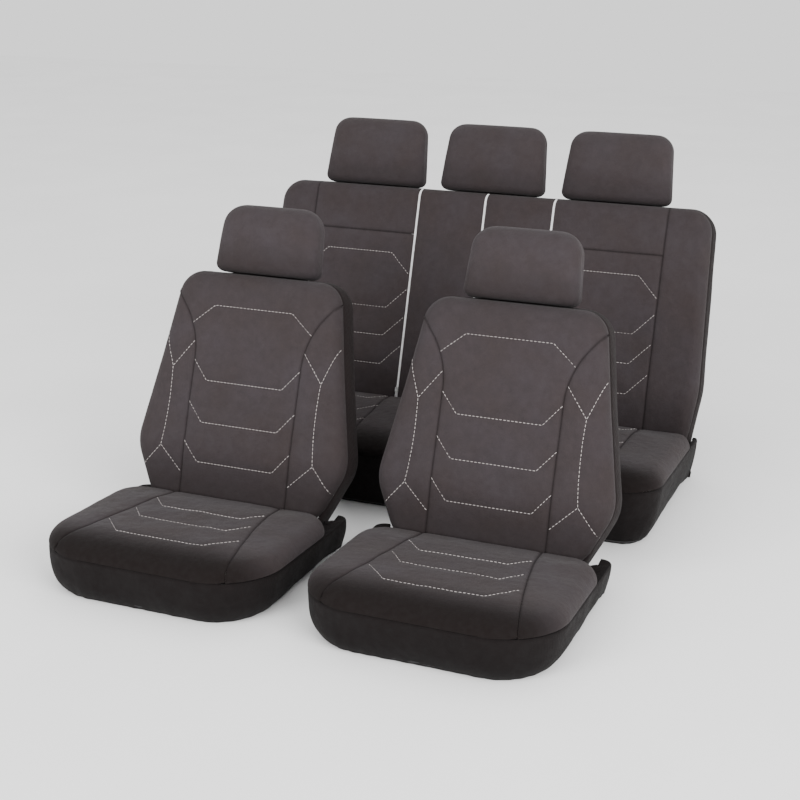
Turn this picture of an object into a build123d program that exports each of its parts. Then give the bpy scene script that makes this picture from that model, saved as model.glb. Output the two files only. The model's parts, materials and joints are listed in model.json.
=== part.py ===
from build123d import *
import math
import os

# A set of car seat covers, filled out as they lie on the seats: two front seats and a rear bench.
# Each cover is a hollow skin of foam-backed cloth. Seats face -Y, +X is on the right of someone
# who looks at the set from the front, and the hems lie on Z = 0. Millimetres.

# Cloth and trim
CLOTH = 4.0                # thickness of the foam-backed cloth
ELASTIC = 2.0              # thickness of the hem elastic
ELASTIC_HEIGHT = 10.0
ELASTIC_LIFT = 2.0         # the elastic's height above the hem's edge
ROLL = 28.0                # radius of the rolled edge of a filled cover
FRONT_BAND = 32.0          # depth of the face cloth, from the face to the black side band
BACK_BAND = 10.0           # depth of the back panel's rim
OPEN_BELOW = -10.0         # side band and back panel end here, below the hinge line

# Where the seats stand
FRONT_SEAT_X = 330.0       # from the middle of the car to the middle of a front seat
FRONT_CREASE_Y = -766.0    # crease of the front seats, before the set is centred
REAR_CREASE_Y = 0.0
FRONT_CREASE_Z = 106.0
REAR_CREASE_Z = 146.0
FRONT_LEAN = 20.0
REAR_LEAN = 18.0
CUSHION_SLOPE = 4.0        # every cushion rises towards its front

# Backrests
BACK_THICK = 110.0         # the hinge is in the middle of this, level with the crease
FRONT_BACK_HIGH = 550.0
FRONT_BACK_TOP_HALF = 206.0
FRONT_BACK_SHOULDER = (250.0, 330.0)   # half width and height up the backrest
FRONT_BACK_WIDEST = (292.0, 105.0)
FRONT_BACK_WAIST_HALF = 214.0
TOP_CORNER = 65.0
REAR_BACK_HIGH = 598.0
REAR_BACK_HALF = 656.0
REAR_BACK_TOP_HALF = 636.0
REAR_BACK_FOOT_HALF = 636.0            # narrower than the rest, to clear the skirt
REAR_BACK_WIDEST_AT = 110.0

# Seams of the front backrest: straight up from the crease, then an arc out towards the top corner
SEAM_STRAIGHT = (146.0, 330.0)
SEAM_ARC_END = (190.0, 458.0)

# Seams and zips of the rear backrest
REAR_OUTER_SEAM = 520.0
REAR_YOKE_SEAM = 464.0
ZIP_X = (-200.0, 0.0, 200.0)
ZIP_NAMES = ("left", "middle", "right")
ZIP_GAP = 8.0
ZIP_TAPE = 26.0
ZIP_TAPE_THICK = 1.2
ZIP_TEETH = 5.0
ZIP_FOOT = -20.0           # the zip's lower end
SLIDER_FOOT = 6.0
SLIDER_LONG = 15.0
SLIDER_WIDE = 10.0
SLIDER_WALL = 1.5
SLIDER_CLEAR = 0.6
TAB_LONG = 22.0
TAB_WIDE = 5.0
TAB_THICK = 1.4

# Cushions
FRONT_CUSHION_HALF = 291.0
FRONT_CUSHION_DEEP = 450.0
FRONT_CUSHION_CORNER = 150.0
REAR_CUSHION_HALF = 662.0
REAR_CUSHION_DEEP = 480.0
REAR_CUSHION_CORNER = 95.0
FRONT_CUSHION_REAR_CORNER = 80.0
REAR_CUSHION_REAR_CORNER = 40.0
SKIRT_REAR_CORNER = 40.0
CUSHION_GAP = 22.0         # from the crease to the rear edge of the cushion's top
SKIRT_BEHIND = 70.0        # the skirt reaches this far behind the crease
SKIRT_TAPER = 9.0
SKIRT_RETURN = 24.0        # the skirt's rear ends turn in by this much, clear of the backrest
TOP_BAND = 32.0            # depth of the face cloth over the cushion's rolled edge
FRONT_CUSHION_SEAM = (140.0, 222.0)    # half width at the crease and at the front edge
REAR_INNER_SEAM = (216.0, 147.0)
REAR_CUSHION_OUTER_SEAM = 516.0

# Tuck flaps: a sheet that goes round under the backrest, about the hinge line
FLAP_CLEAR = 13.0
FLAP_THICK = 3.0
FLAP_TAIL = 70.0
FRONT_FLAP_HALF = 190.0
REAR_FLAP_HALF = 600.0

# Headrests
HEAD_THICK = 90.0
HEAD_SET_BACK = 8.0
HEAD_GAP = 5.0
HEAD_ROLL = 34.0
FRONT_HEAD = (285.0, 262.0, 172.0)     # bottom width, top width, height
REAR_HEAD = (312.0, 280.0, 192.0)
FRONT_HEAD_CORNER = 58.0
REAR_HEAD_CORNER = 48.0
REAR_HEAD_X = (-360.0, 0.0, 360.0)
HEAD_MOUTH = (200.0, 44.0)             # opening in the underside, for the posts

# Strap and buckle under a front cushion
STRAP_WIDE = 20.0
STRAP_THICK = 2.0
STRAP_Z = 14.0
BUCKLE_Y = -190.0          # mouth of the socket, from the crease
BUCKLE_WIDE = 42.0
SOCKET_LONG = 48.0
SOCKET_HIGH = 14.0
POCKET_DEEP = 34.0
POCKET_WIDE = 37.0
POCKET_HIGH = 9.0
TONGUE_BASE = 16.0
PRONG_LONG = 31.0
PRONG_WIDE = 6.0           # the prongs pass outside the webbing
PRONG_HIGH = 7.0
SLOT_CLEAR = 0.7

BIG = 3000.0


def slab(low, high):
    """A box from its lowest corner to its highest."""
    size = [b - a for a, b in zip(low, high)]
    middle = [(a + b) / 2 for a, b in zip(low, high)]
    return Pos(*middle) * Box(*size)


def backrest_frame(x, crease_y, crease_z, lean):
    """Local X across, local Y up the backrest, local Z out of its face, zero at the crease."""
    lean = math.radians(lean)
    return Plane(origin=(x, crease_y, crease_z), x_dir=(1, 0, 0), z_dir=(0, -math.cos(lean), math.sin(lean)))


def cushion_frame(x, crease_y, crease_z):
    """Local X across, local Y rearwards, local Z out of the cushion's top, zero at the crease."""
    slope = math.radians(CUSHION_SLOPE)
    return Plane(origin=(x, crease_y, crease_z), x_dir=(1, 0, 0), z_dir=(0, math.sin(slope), math.cos(slope)))


def mirrored_outline(half, rounds):
    """A closed outline from its right-hand points, bottom to top, with some corners rounded.

    rounds holds one radius for each point, and 0 keeps the corner sharp.
    """
    points = half + [(-x, y) for x, y in reversed(half)]
    outline = make_face(Polyline(*points, close=True))
    for (x, y), radius in zip(half, rounds):
        if radius:
            corners = [c for c in outline.vertices() if abs(abs(c.X) - x) < 0.01 and abs(c.Y - y) < 0.01]
            outline = fillet(corners, radius)
    return outline


def filled(outline, thick, roll, inset=0.0, open_foot=None):
    """The form that fills a cover: the outline drawn in by inset, thick, with rolled edges.

    open_foot is the local Y of a straight foot, whose edges stay sharp.
    """
    flat = offset(outline, -inset) if inset else outline
    body = Pos(0, 0, -inset) * extrude(flat, amount=-(thick - 2 * inset))
    faces = body.faces().sort_by(Axis.Z)
    edges = faces[0].edges() + faces[-1].edges()
    if open_foot is not None:
        edges = [e for e in edges if e.center().Y > open_foot + inset + 0.5]
    return fillet(edges, roll - inset)


def backrest_form(outline, foot, inset=0.0):
    """A filled backrest, whose foot is round about the hinge line."""
    radius = BACK_THICK / 2
    body = filled(outline, BACK_THICK, ROLL, inset, foot)
    above = slab((-BIG, 0, -BACK_THICK), (BIG, BIG, 0))
    below = Pos(0, 0, -radius) * Rot(0, 90, 0) * Cylinder(radius - inset, 2 * BIG)
    return body & (above + below)


def backrest_skin(outline, foot):
    """The cover of one backrest, cut into its face, its side band and its back."""
    inner = backrest_form(outline, foot, CLOTH)
    skin = backrest_form(outline, foot) - inner
    face = skin & slab((-BIG, -BIG, -FRONT_BAND), (BIG, BIG, 1))
    band = skin & slab((-BIG, OPEN_BELOW, -BACK_THICK + BACK_BAND), (BIG, BIG, -FRONT_BAND))
    back = skin & slab((-BIG, OPEN_BELOW, -BACK_THICK), (BIG, BIG, -BACK_THICK + BACK_BAND))
    return face, band, back


def front_backrest():
    """The five panels of a front backrest cover, in the backrest's own frame."""
    foot = -BACK_THICK / 2 - 5
    outline = mirrored_outline(
        [
            (FRONT_BACK_WAIST_HALF, foot),
            (FRONT_BACK_WIDEST[0], FRONT_BACK_WIDEST[1]),
            (FRONT_BACK_SHOULDER[0], FRONT_BACK_SHOULDER[1]),
            (FRONT_BACK_TOP_HALF + 8, FRONT_BACK_HIGH),
        ],
        [0, 110, 400, TOP_CORNER],
    )
    face, band, back = backrest_skin(outline, foot)
    curve = TangentArc(SEAM_STRAIGHT, SEAM_ARC_END, tangent=(0, 1))
    way_out = curve % 1
    outside = (SEAM_ARC_END[0] + 200 * way_out.X, SEAM_ARC_END[1] + 200 * way_out.Y)
    foot_inside = (SEAM_STRAIGHT[0], -BIG)
    foot_outside = (outside[0], -BIG)
    side = [
        curve,
        Line(SEAM_ARC_END, outside),
        Line(outside, foot_outside),
        Line(foot_outside, foot_inside),
        Line(foot_inside, SEAM_STRAIGHT),
    ]
    right = Pos(0, 0, -FRONT_BAND - 1) * extrude(make_face(side), amount=FRONT_BAND + 2, dir=(0, 0, 1))
    left = mirror(right, about=Plane.YZ)
    return {
        "backrest_centre_panel": face - right - left,
        "backrest_left_bolster": face & left,
        "backrest_right_bolster": face & right,
        "backrest_boxing": band,
        "backrest_back_panel": back,
    }


def rear_backrest():
    """The panels and zips of the rear backrest cover, in the backrest's own frame."""
    foot = -BACK_THICK / 2 - 5
    outline = mirrored_outline(
        [
            (REAR_BACK_FOOT_HALF, foot),
            (REAR_BACK_HALF, REAR_BACK_WIDEST_AT),
            (REAR_BACK_TOP_HALF, REAR_BACK_HIGH),
        ],
        [0, 300, TOP_CORNER],
    )
    face, band, back = backrest_skin(outline, foot)
    inner = backrest_form(outline, foot, CLOTH)
    tape_shell = inner - backrest_form(outline, foot, CLOTH + ZIP_TAPE_THICK)

    def strip(low, high, shape=face, bottom=-BIG, top=BIG):
        return shape & slab((low, bottom, -FRONT_BAND), (high, top, 1))

    gap = ZIP_GAP / 2
    side = ZIP_X[2] + gap
    nodes = {}
    for name, sign in (("left", -1), ("right", 1)):
        ends = sorted((sign * REAR_OUTER_SEAM, sign * BIG))
        nodes[f"rear_{name}_outer_panel"] = strip(*ends)
        ends = sorted((sign * side, sign * REAR_OUTER_SEAM))
        nodes[f"rear_{name}_yoke_panel"] = strip(*ends, bottom=REAR_YOKE_SEAM)
        nodes[f"rear_{name}_main_panel"] = strip(*ends, top=REAR_YOKE_SEAM)
        ends = sorted((sign * gap, sign * (ZIP_X[2] - gap)))
        nodes[f"rear_centre_{name}_panel"] = strip(*ends)
        half = slab((min(0, sign * BIG), -BIG, -BIG), (max(0, sign * BIG), BIG, BIG))
        nodes[f"rear_{name}_boxing"] = band & half
        nodes[f"rear_{name}_back_panel"] = back & half
    for name, x in zip(ZIP_NAMES, ZIP_X):
        tape = strip(x - ZIP_TAPE / 2, x + ZIP_TAPE / 2, tape_shell, bottom=ZIP_FOOT)
        teeth = strip(x - ZIP_TEETH / 2, x + ZIP_TEETH / 2, face, bottom=ZIP_FOOT)
        nodes[f"rear_{name}_zip"] = tape + teeth
    return nodes


def zip_slider(x):
    """A slider that straddles the teeth in the zip's gap, with its pull tab hanging down."""
    half = SLIDER_WIDE / 2
    body = slab((x - half, SLIDER_FOOT, SLIDER_CLEAR), (x + half, SLIDER_FOOT + SLIDER_LONG, SLIDER_CLEAR + 3.0))
    body = fillet(body.edges().filter_by(Axis.Z), 3.0)
    roof = SLIDER_CLEAR + 3.0
    lug = slab(
        (x - 1.5, SLIDER_FOOT, roof),
        (x + 1.5, SLIDER_FOOT + SLIDER_LONG / 2, roof + TAB_THICK),
    )
    tab = slab(
        (x - TAB_WIDE / 2, SLIDER_FOOT - TAB_LONG + SLIDER_WALL, roof),
        (x + TAB_WIDE / 2, SLIDER_FOOT + SLIDER_WALL, roof + TAB_THICK),
    )
    tab = fillet(tab.edges().filter_by(Axis.Z), TAB_WIDE / 2 - 0.1)
    return body + lug + tab


def cushion_form(half, deep, corners, inset=0.0):
    """A filled cushion top, in the cushion's frame, from its rear edge to its front.

    corners are the radii of its rear and front corners.
    """
    outline = mirrored_outline(
        [(half, -CUSHION_GAP), (half, -deep)],
        corners,
    )
    flat = offset(outline, -inset) if inset else outline
    body = Pos(0, 0, -inset) * extrude(flat, amount=-(TOP_BAND + 20 - inset))
    top = body.faces().sort_by(Axis.Z)[-1]
    return fillet(top.edges(), ROLL - inset)


def skirt_form(half, deep, corner, inset=0.0):
    """The tapered block that the skirt stands round, down past the floor."""
    outline = mirrored_outline(
        [(half - inset, SKIRT_BEHIND - inset), (half - inset, -deep + inset)],
        [SKIRT_REAR_CORNER - inset, corner - inset],
    )
    return Pos(0, 0, -TOP_BAND) * extrude(outline, amount=-260, taper=SKIRT_TAPER)


def cushion(frame, half, deep, corners, flap_half, hinge_y, hinge_z):
    """Top skin, skirt, hem elastic and tuck flap, in the set's frame."""
    corner = corners[1]
    skin = cushion_form(half, deep, corners) - cushion_form(half, deep, corners, CLOTH)
    top = frame.location * (skin & slab((-BIG, -BIG, -TOP_BAND), (BIG, BIG, 1)))
    above_floor = slab((-BIG, -BIG, 0), (BIG, BIG, BIG))
    outer = frame.location * skirt_form(half, deep, corner)
    inner = frame.location * skirt_form(half, deep, corner, CLOTH)
    x = frame.origin.X
    rear = slab(
        (x - half + SKIRT_RETURN, frame.origin.Y + 20, -1),
        (x + half - SKIRT_RETURN, BIG, BIG),
    )
    skirt = (outer - inner) & above_floor
    skirt = skirt - rear
    core = frame.location * skirt_form(half, deep, corner, CLOTH + ELASTIC)
    hem_level = slab((-BIG, -BIG, ELASTIC_LIFT), (BIG, BIG, ELASTIC_LIFT + ELASTIC_HEIGHT))
    elastic = (inner - core) & hem_level
    elastic = elastic - rear
    radius = BACK_THICK / 2 + FLAP_CLEAR
    sleeve = Cylinder(radius + FLAP_THICK, 2 * flap_half) - Cylinder(radius, 2 * flap_half)
    sleeve = Pos(x, hinge_y, hinge_z) * Rot(0, 90, 0) * sleeve
    lower_front = slab((-BIG, -BIG, -BIG), (BIG, hinge_y, hinge_z - TOP_BAND + 14))
    tail = slab(
        (x - flap_half, hinge_y, hinge_z - radius - FLAP_THICK),
        (x + flap_half, hinge_y + FLAP_TAIL, hinge_z - radius),
    )
    flap = (sleeve & lower_front) + tail
    return top, skirt, elastic, flap, inner


def wedge(frame, half_at_crease, half_at_front, deep, sign):
    """Everything outside a straight seam on one side of a cushion's top."""
    slope = (half_at_front - half_at_crease) / deep
    points = [
        (sign * (half_at_crease - slope * 200), 200),
        (sign * BIG, 200),
        (sign * BIG, -deep - 200),
        (sign * (half_at_front + slope * 200), -deep - 200),
    ]
    face = make_face(Polyline(*points, close=True))
    return frame.location * Pos(0, 0, -100) * extrude(face, amount=200, dir=(0, 0, 1))


def headrest(size, corner):
    """A hollow headrest cover with its mouth underneath, centred on X = 0 and standing on Y = 0."""
    bottom, top, high = size
    outline = mirrored_outline([(bottom / 2, 0), (top / 2, high)], [corner * 0.7, corner])
    skin = filled(outline, HEAD_THICK, HEAD_ROLL) - filled(outline, HEAD_THICK, HEAD_ROLL, CLOTH)
    mouth = slab(
        (-HEAD_MOUTH[0] / 2, -1, -HEAD_THICK / 2 - HEAD_MOUTH[1] / 2),
        (HEAD_MOUTH[0] / 2, CLOTH + 1, -HEAD_THICK / 2 + HEAD_MOUTH[1] / 2),
    )
    return skin - mouth


def strap_and_buckle(frame, inside, flap_end, flap_z):
    """Webbing from the front hem to the flap, with its buckle, in the set's frame."""
    x = frame.origin.X
    y = frame.origin.Y
    low = STRAP_Z - STRAP_THICK / 2
    high = STRAP_Z + STRAP_THICK / 2
    half = STRAP_WIDE / 2
    mouth = y + BUCKLE_Y
    closed_end = mouth - SOCKET_LONG
    front = slab((x - half, y - 2 * FRONT_CUSHION_DEEP, low), (x + half, closed_end, high)) & inside
    rear = slab((x - half, mouth, low), (x + half, flap_end, high))
    riser = slab((x - half, flap_end - STRAP_WIDE, low), (x + half, flap_end, flap_z))
    strap = Compound(front.solids() + (rear + riser).solids())
    wide = BUCKLE_WIDE / 2
    socket = slab((x - wide, closed_end, STRAP_Z - SOCKET_HIGH / 2), (x + wide, mouth, STRAP_Z + SOCKET_HIGH / 2))
    socket = fillet(socket.edges().filter_by(Axis.Z), 5)
    pocket = slab(
        (x - POCKET_WIDE / 2, mouth - POCKET_DEEP, STRAP_Z - POCKET_HIGH / 2),
        (x + POCKET_WIDE / 2, mouth + 1, STRAP_Z + POCKET_HIGH / 2),
    )
    window = slab(
        (x - BUCKLE_WIDE, mouth - 26, STRAP_Z - 2.5),
        (x + BUCKLE_WIDE, mouth - 12, STRAP_Z + 2.5),
    )
    socket = socket - pocket - window
    base = slab(
        (x - wide, mouth + 0.5, STRAP_Z - SOCKET_HIGH / 2 + 1),
        (x + wide, mouth + 0.5 + TONGUE_BASE, STRAP_Z + SOCKET_HIGH / 2 - 1),
    )
    base = fillet(base.edges().filter_by(Axis.Z), 4)
    slot = slab(
        (x - half - SLOT_CLEAR, mouth - 5, low - SLOT_CLEAR),
        (x + half + SLOT_CLEAR, mouth + 60, high + SLOT_CLEAR),
    )
    tongue = base - slot
    for sign in (-1, 1):
        middle = x + sign * (POCKET_WIDE / 2 - PRONG_WIDE / 2 - 1)
        tongue += slab(
            (middle - PRONG_WIDE / 2, mouth - PRONG_LONG, STRAP_Z - PRONG_HIGH / 2),
            (middle + PRONG_WIDE / 2, mouth + 2, STRAP_Z + PRONG_HIGH / 2),
        )
    return strap, socket, tongue


def hinge_point(frame):
    """The middle of the round foot of a backrest."""
    return frame.from_local_coords(Vector(0, 0, -BACK_THICK / 2))


def front_seat(side, x):
    """Every node of one front seat's covers, in the set's frame."""
    back = backrest_frame(x, FRONT_CREASE_Y, FRONT_CREASE_Z, FRONT_LEAN)
    seat = cushion_frame(x, FRONT_CREASE_Y, FRONT_CREASE_Z)
    hinge = hinge_point(back)
    nodes = {f"front_{side}_{name}": back.location * shape for name, shape in front_backrest().items()}
    head = Pos(0, FRONT_BACK_HIGH + HEAD_GAP, -HEAD_SET_BACK) * headrest(FRONT_HEAD, FRONT_HEAD_CORNER)
    nodes[f"front_{side}_headrest_cover"] = back.location * head
    top, skirt, elastic, flap, inside = cushion(
        seat,
        FRONT_CUSHION_HALF,
        FRONT_CUSHION_DEEP,
        [FRONT_CUSHION_REAR_CORNER, FRONT_CUSHION_CORNER],
        FRONT_FLAP_HALF,
        hinge.Y,
        hinge.Z,
    )
    left = wedge(seat, *FRONT_CUSHION_SEAM, FRONT_CUSHION_DEEP, -1)
    right = wedge(seat, *FRONT_CUSHION_SEAM, FRONT_CUSHION_DEEP, 1)
    nodes[f"front_{side}_cushion_centre_panel"] = top - left - right
    nodes[f"front_{side}_cushion_left_bolster"] = top & left
    nodes[f"front_{side}_cushion_right_bolster"] = top & right
    nodes[f"front_{side}_cushion_skirt"] = skirt
    nodes[f"front_{side}_hem_elastic"] = elastic
    nodes[f"front_{side}_tuck_flap"] = flap
    flap_z = hinge.Z - BACK_THICK / 2 - FLAP_CLEAR - FLAP_THICK
    strap, socket, tongue = strap_and_buckle(seat, inside, hinge.Y + FLAP_TAIL, flap_z)
    nodes[f"front_{side}_under_strap"] = strap
    nodes[f"front_{side}_buckle_socket"] = socket
    nodes[f"front_{side}_buckle_tongue"] = tongue
    return nodes


def rear_bench():
    """Every node of the rear covers, in the set's frame."""
    back = backrest_frame(0, REAR_CREASE_Y, REAR_CREASE_Z, REAR_LEAN)
    seat = cushion_frame(0, REAR_CREASE_Y, REAR_CREASE_Z)
    hinge = hinge_point(back)
    nodes = {name: back.location * shape for name, shape in rear_backrest().items()}
    for name, x in zip(ZIP_NAMES, ZIP_X):
        nodes[f"rear_{name}_zip_slider"] = back.location * zip_slider(x)
    for name, x in zip(ZIP_NAMES, REAR_HEAD_X):
        head = Pos(x, REAR_BACK_HIGH + HEAD_GAP, -HEAD_SET_BACK) * headrest(REAR_HEAD, REAR_HEAD_CORNER)
        nodes[f"rear_{name}_headrest_cover"] = back.location * head
    top, skirt, elastic, flap, _ = cushion(
        seat,
        REAR_CUSHION_HALF,
        REAR_CUSHION_DEEP,
        [REAR_CUSHION_REAR_CORNER, REAR_CUSHION_CORNER],
        REAR_FLAP_HALF,
        hinge.Y,
        hinge.Z,
    )
    middle = top
    for name, sign in (("left", -1), ("right", 1)):
        inner = wedge(seat, *REAR_INNER_SEAM, REAR_CUSHION_DEEP, sign)
        outer = wedge(seat, REAR_CUSHION_OUTER_SEAM, REAR_CUSHION_OUTER_SEAM, REAR_CUSHION_DEEP, sign)
        nodes[f"rear_cushion_{name}_insert"] = (top & inner) - outer
        nodes[f"rear_cushion_{name}_bolster"] = top & outer
        middle = middle - inner
    nodes["rear_cushion_centre_panel"] = middle
    nodes["rear_cushion_skirt"] = skirt
    nodes["rear_hem_elastic"] = elastic
    nodes["rear_tuck_flap"] = flap
    return nodes


def build():
    """All nodes, with the middle of the set's floor area at the origin."""
    nodes = rear_bench()
    nodes.update(front_seat("left", -FRONT_SEAT_X))
    nodes.update(front_seat("right", FRONT_SEAT_X))
    boxes = [shape.bounding_box() for shape in nodes.values()]
    middle_y = (min(b.min.Y for b in boxes) + max(b.max.Y for b in boxes)) / 2
    return {name: Pos(0, -middle_y, 0) * shape for name, shape in nodes.items()}, middle_y


os.makedirs("parts", exist_ok=True)
NODES, MIDDLE_Y = build()
for node, shape in NODES.items():
    export_step(shape, f"parts/{node}.step")
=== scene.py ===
import json
import math

import bmesh
import bpy
import numpy as np
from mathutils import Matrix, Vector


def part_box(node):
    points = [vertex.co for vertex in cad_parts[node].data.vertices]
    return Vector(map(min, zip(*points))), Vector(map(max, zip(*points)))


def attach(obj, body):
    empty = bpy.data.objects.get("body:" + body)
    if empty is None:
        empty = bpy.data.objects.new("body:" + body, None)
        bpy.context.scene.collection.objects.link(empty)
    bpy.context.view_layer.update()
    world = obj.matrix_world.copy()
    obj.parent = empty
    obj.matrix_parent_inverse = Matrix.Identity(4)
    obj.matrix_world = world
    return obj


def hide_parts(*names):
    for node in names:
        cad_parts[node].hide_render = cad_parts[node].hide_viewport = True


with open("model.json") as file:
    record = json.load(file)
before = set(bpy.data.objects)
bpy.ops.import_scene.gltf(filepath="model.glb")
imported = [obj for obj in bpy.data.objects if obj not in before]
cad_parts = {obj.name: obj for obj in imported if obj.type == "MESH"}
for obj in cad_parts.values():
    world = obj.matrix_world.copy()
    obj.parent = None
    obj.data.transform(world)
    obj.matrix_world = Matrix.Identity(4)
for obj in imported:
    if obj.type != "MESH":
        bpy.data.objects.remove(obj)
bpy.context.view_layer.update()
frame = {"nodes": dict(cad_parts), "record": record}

# A set of car seat covers, filled out as on the seats. Sizes are in millimetres and each cover is
# made in its own flat coordinates: u across, v up the backrest or d forwards on the cushion, and
# n out of the face. The frame's joints say where each cover stands.

MM = 0.001
JOINTS = {j["name"]: j for j in frame["record"]["behaviour"]["joints"]}

CLOTH = 3.6  # thickness of the foam-backed cloth
HALF_THICK = 55.0  # the hinge line lies this far behind a backrest's face
THICK = 2 * HALF_THICK
ROLL = 28.0  # radius of a filled cover's rolled edge
BAND_FRONT = 32.0  # where the face cloth meets the side band
BAND_BACK = 100.0  # where the side band meets the back panel
FACE_FOOT = -60.0  # the face cloth goes this far round under the foot
BAND_FOOT = -38.0  # the side band ends here
BACK_FOOT = -24.0  # the back panel ends here
SLOPE_SIN, SLOPE_COS = math.sin(math.radians(4)), math.cos(math.radians(4))  # of a cushion
SKIRT_TAPER = math.radians(9)
SKIRT_BEHIND = 70.0  # the skirt's ends lie this far behind the crease
CURL = 24.0  # how far the elastic hem draws the skirt in under the seat
SEAM_GAP = 0.3  # half the gap between two panels at their seam
NARROW = 0.85  # a strip narrower than this takes its row's places from the widest row

# Distances from a panel's edge at which the mesh has rows, so that its rolled edge is smooth
EDGE_STEPS = np.array([0, 0.35, 1.1, 2.3, 4.2, 7.0, 11.0, 16.5, 24.0, 33.0])

# Sewn lines draw the cloth in by these depths, over these widths
SEAM_DIPS = ((2.6, 3.2), (1.6, 12.0))
STITCH_DIPS = ((0.9, 2.6), (1.0, 10.0))


# ---- outlines and distances

def rounded(points, radii, step=3.0):
    """A polyline through points, with the corner at each inner point rounded to its radius."""
    points = [np.array(p, float) for p in points]
    out = [points[0]]
    for before, corner, after, radius in zip(points, points[1:], points[2:], radii):
        a = (before - corner) / np.linalg.norm(before - corner)
        b = (after - corner) / np.linalg.norm(after - corner)
        half = math.acos(np.clip(a @ b, -1, 1)) / 2
        centre = corner + (a + b) / np.linalg.norm(a + b) * radius / math.sin(half)
        start = corner + a * radius / math.tan(half) - centre
        turn = math.pi - 2 * half
        if start[1] * a[0] - start[0] * a[1] < 0:
            turn = -turn
        count = max(4, int(abs(turn) * radius / step))
        for t in np.linspace(0, turn, count + 1):
            c, s = math.cos(t), math.sin(t)
            out.append(centre + np.array([c * start[0] - s * start[1], s * start[0] + c * start[1]]))
    out.append(points[-1])
    return np.array(out)


def resample(line, step):
    """The line again, with points evenly spaced about step apart, and the distance along it."""
    along = np.concatenate([[0], np.cumsum(np.linalg.norm(np.diff(line, axis=0), axis=1))])
    at = np.linspace(0, along[-1], max(2, int(round(along[-1] / step)) + 1))
    return np.stack([np.interp(at, along, line[:, k]) for k in range(line.shape[1])], axis=1), at


def nearest(points, line):
    """From each point, an array (..., 2), to a polyline: the distance, and the stretch's number."""
    flat = points.reshape(-1, 2)
    best = np.full(len(flat), np.inf)
    index = np.zeros(len(flat), int)
    for i, (a, b) in enumerate(zip(line[:-1], line[1:])):
        d = b - a
        t = np.clip(((flat - a) @ d) / max(d @ d, 1e-12), 0, 1)
        far = np.hypot(flat[:, 0] - a[0] - t * d[0], flat[:, 1] - a[1] - t * d[1])
        nearer = far < best
        best[nearer] = far[nearer]
        index[nearer] = i
    return best.reshape(points.shape[:-1]), index.reshape(points.shape[:-1])


def away(points, line):
    """The distance from each point to a polyline."""
    return nearest(points, line)[0]


def outward_of(line):
    """A polyline's normals, on its right-hand side."""
    tangent = np.gradient(line, axis=0)
    tangent /= np.maximum(np.linalg.norm(tangent, axis=1, keepdims=True), 1e-9)
    return np.stack([tangent[:, 1], -tangent[:, 0]], 1)


def mirror_line(line):
    """The same line on the other side of u = 0."""
    return np.array(line, float) * [-1, 1]


def both(lines):
    """Lines and their mirror images."""
    lines = [np.array(line, float) for line in lines]
    return lines + [mirror_line(line) for line in lines]


def across(points):
    """A line from the right-hand half of it to the left."""
    points = np.array(points, float)
    return np.concatenate([points, mirror_line(points[::-1])])


def spread(width, middle):
    """Places across a strip from 0 to 1, close together near both edges."""
    steps = EDGE_STEPS * min(1.0, width / (2.2 * EDGE_STEPS[-1]))
    inner = np.linspace(steps[-1], width - steps[-1], middle + 1)[1:-1]
    return np.concatenate([steps, inner, (width - steps)[::-1]]) / max(width, 1e-6)


def rows_between(low, high, step, low_steps=EDGE_STEPS, high_steps=EDGE_STEPS):
    """Places of a panel's rows, close together near its sewn edges."""
    inner = np.arange(low + low_steps[-1] + step, high - high_steps[-1] - step / 2, step)
    return np.concatenate([low + low_steps, inner, (high - high_steps)[::-1]])


def two_sides(near, far):
    """A strip's edges, near and far from the middle, as a left-hand and a right-hand panel has them."""
    return (("left", lambda v: -far(v), lambda v: -near(v)), ("right", near, far))


def constant(place):
    """An edge that runs straight at one place across."""
    return lambda v: place + 0 * v


# ---- soft relief

class Noise:
    """Smooth undulation made of a few slanted waves, the same each time."""

    def __init__(self, seed, size, count=9):
        draw = np.random.default_rng(seed)
        angle = draw.random(count) * 2 * math.pi
        scale = size * (0.6 + 0.9 * draw.random(count))
        self.k = np.stack([np.cos(angle), np.sin(angle)], 1) * (2 * math.pi / scale)[:, None]
        self.phase = draw.random(count) * 2 * math.pi

    def __call__(self, u, v):
        total = 0
        for k, phase in zip(self.k, self.phase):
            total = total + np.sin(k[0] * u + k[1] * v + phase)
        return total / math.sqrt(len(self.k))


def ramp(x, low, high):
    """From 0 at low to 1 at high, smoothly."""
    t = np.clip((x - low) / (high - low), 0, 1)
    return t * t * (3 - 2 * t)


def fading(distance, reach):
    """From 1 on a line to 0 far from it."""
    return np.exp(-distance / reach)


def dip(distance, depth, width):
    """How far a line of sewing pulls the cloth in, at a distance from it."""
    return depth * np.exp(-((distance / width) ** 2))


def relief(points, seams, stitches):
    """How far seams and topstitching pull the cloth in."""
    total = np.zeros(points.shape[:-1])
    for lines, dips in ((seams, SEAM_DIPS), (stitches, STITCH_DIPS)):
        for line in lines:
            far = away(points, line)
            total = np.maximum(total, sum(dip(far, depth, width) for depth, width in dips))
    return total


def roll_depth(edge, radius=ROLL):
    """How far the face has turned away, at a distance in from its outline."""
    inside = np.clip(edge, 0, radius)
    return radius - np.sqrt(np.maximum(radius ** 2 - (radius - inside) ** 2, 0))


def turned_in(edge):
    """How far sewn edges are turned in, which isn't done where the panel rolls over its outline."""
    extra = np.zeros_like(edge)
    turned = BAND_FRONT - ROLL
    for column in (0, -1):
        rim = edge[:, column] < 1
        follows = rim.sum() > 4
        extra[:, column] = np.where(rim & follows, turned, turned * ramp(edge[:, column], 0, ROLL))
    extra[0] = extra[-1] = turned
    return extra


# ---- meshes

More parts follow.
